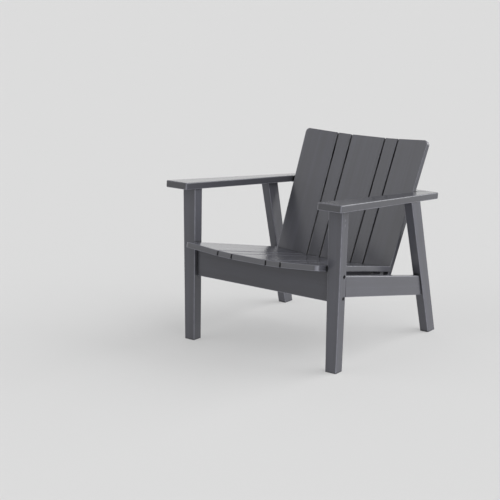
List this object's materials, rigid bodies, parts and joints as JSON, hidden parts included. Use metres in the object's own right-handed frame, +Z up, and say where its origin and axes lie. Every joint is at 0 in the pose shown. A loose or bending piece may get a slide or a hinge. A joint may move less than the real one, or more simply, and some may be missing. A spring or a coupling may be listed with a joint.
{
  "type": "adirondack chair",
  "caption": "Low slatted garden armchair with a dished sloping seat, fanned leaning back and wide flat tapered arms.",
  "frame": {"origin": "on the floor, below the middle of the chair's bounding box", "axes": "+X to the right as seen by someone facing the chair, -Y to the front where the seat opens, +Z up"},
  "size_m": [0.7414, 0.8102, 0.7208],
  "materials": {
    "board_plastic": "satin, fine grain along the boards",
    "bolt_steel": "black coated steel, satin",
    "screw_steel": "stainless steel, satin",
    "bracket_steel": "powder coated steel, matt",
    "dowel_plastic": "matt",
    "cap_plastic": "matt"
  },
  "bodies": {
    "root": {"apron_barrel_nuts": "bolt_steel", "apron_batten_screws": "screw_steel", "apron_bolts": "bolt_steel", "arm_brace": "board_plastic", "arm_dowels": "dowel_plastic", "arm_left": "board_plastic", "arm_lock_screws": "screw_steel", "arm_right": "board_plastic", "back_crossrail": "board_plastic", "back_crossrail_brackets": "bracket_steel", "back_slat_centre": "board_plastic", "back_slat_inner_left": "board_plastic", "back_slat_inner_right": "board_plastic", "back_slat_outer_left": "board_plastic", "back_slat_outer_right": "board_plastic", "back_slat_screws": "screw_steel", "brace_plate_screws": "screw_steel", "brace_plates": "bracket_steel", "bracket_screws": "screw_steel", "front_apron": "board_plastic", "front_leg_left": "board_plastic", "front_leg_right": "board_plastic", "front_seat_batten": "board_plastic", "leg_plug_caps": "cap_plastic", "rail_barrel_nuts": "bolt_steel", "rail_bolts": "bolt_steel", "rail_brackets": "bracket_steel", "rear_leg_left": "board_plastic", "rear_leg_right": "board_plastic", "rear_seat_batten": "board_plastic", "seat_crossrail": "board_plastic", "seat_crossrail_brackets": "bracket_steel", "seat_slat_centre": "board_plastic", "seat_slat_inner_left": "board_plastic", "seat_slat_inner_right": "board_plastic", "seat_slat_outer_left": "board_plastic", "seat_slat_outer_right": "board_plastic", "seat_slat_screws": "screw_steel", "side_rail_left": "board_plastic", "side_rail_right": "board_plastic", "upper_back_batten": "board_plastic"}
  },
  "joints": []
}
